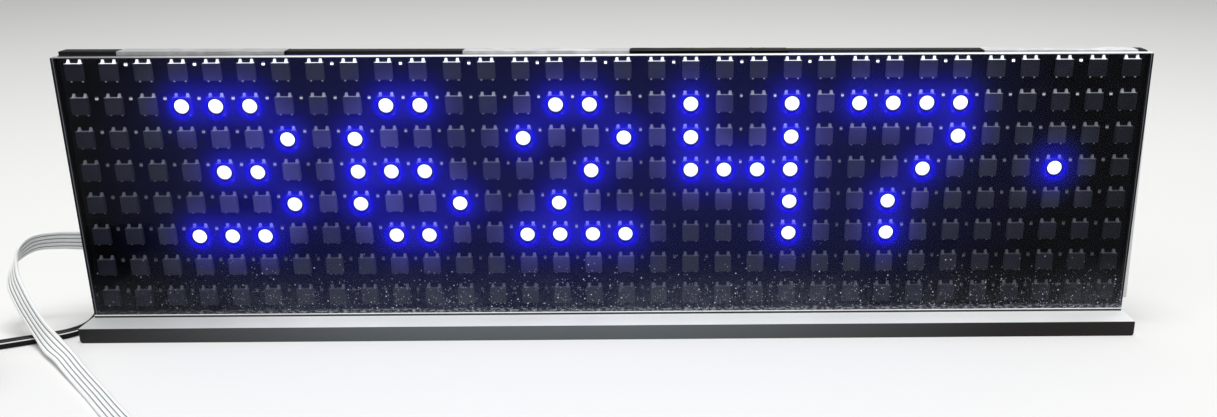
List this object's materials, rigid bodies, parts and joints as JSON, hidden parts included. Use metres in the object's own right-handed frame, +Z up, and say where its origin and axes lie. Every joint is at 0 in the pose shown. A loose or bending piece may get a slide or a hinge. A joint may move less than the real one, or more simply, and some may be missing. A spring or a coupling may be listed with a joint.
{
  "type": "led dot matrix",
  "caption": "Long LED dot matrix behind a smoked sheet, standing on a flat metal bar, with a white ribbon and a black power lead.",
  "frame": {"origin": "middle of the base bar's underside", "axes": "+X to the viewer's right along the panel, +Y to the back, +Z up; the lamps face -Y"},
  "size_m": [0.3919, 0.1889, 0.0859],
  "materials": {
    "satin_aluminium": "satin anodised",
    "smoked_sheet": "polished, see-through grey",
    "led_housing": "matt moulded",
    "lit_resin": "clear resin, lit blue-white",
    "unlit_resin": "smoked resin, unlit",
    "capacitor_body": "matt",
    "black_board": "black solder mask",
    "pale_tape": "matt",
    "black_foam_board": "matt black card facing",
    "silver_tape": "silver cloth tape, slightly glossy",
    "black_tape": "black cloth tape, slightly glossy",
    "white_foam": "foam adhesive pad",
    "steel_screw": "zinc plated",
    "green_board": "green solder mask",
    "brass_pin": "tinned",
    "white_plastic": "moulded",
    "green_plastic": "moulded",
    "white_sheath": "soft, slightly glossy",
    "black_sheath": "soft, slightly glossy",
    "black_plastic": "moulded"
  },
  "bodies": {
    "root": {"base_bar": "satin_aluminium", "foot_tape": "black_tape", "front_sheet": "smoked_sheet", "led_row_1": "led_housing", "led_row_2": "led_housing", "led_row_3": "led_housing", "led_row_4": "led_housing", "led_row_5": "led_housing", "led_row_6": "led_housing", "led_row_7": "led_housing", "led_row_8": "led_housing", "led_windows_lit": "lit_resin", "led_windows_unlit": "unlit_resin", "capacitors": "capacitor_body", "led_board": "black_board", "edge_tape": "pale_tape", "backing_plate": "black_foam_board", "silver_tape_left": "silver_tape", "silver_tape_centre": "silver_tape", "silver_tape_right": "silver_tape", "black_tape": "black_tape", "bracket_left": "satin_aluminium", "bracket_right": "satin_aluminium", "bracket_pads": "white_foam", "bracket_screws": "steel_screw", "input_board": "green_board", "input_board_pad": "white_foam", "feed_pins": "brass_pin", "ribbon_socket": "white_plastic", "power_terminal": "green_plastic", "ribbon_cable": "white_sheath", "ribbon_coil": "white_sheath", "ribbon_tie": "black_plastic", "ribbon_connector": "black_plastic", "power_lead": "black_sheath", "lead_coil": "black_sheath", "lead_tie": "black_plastic", "lead_plug": "black_plastic"}
  },
  "joints": []
}
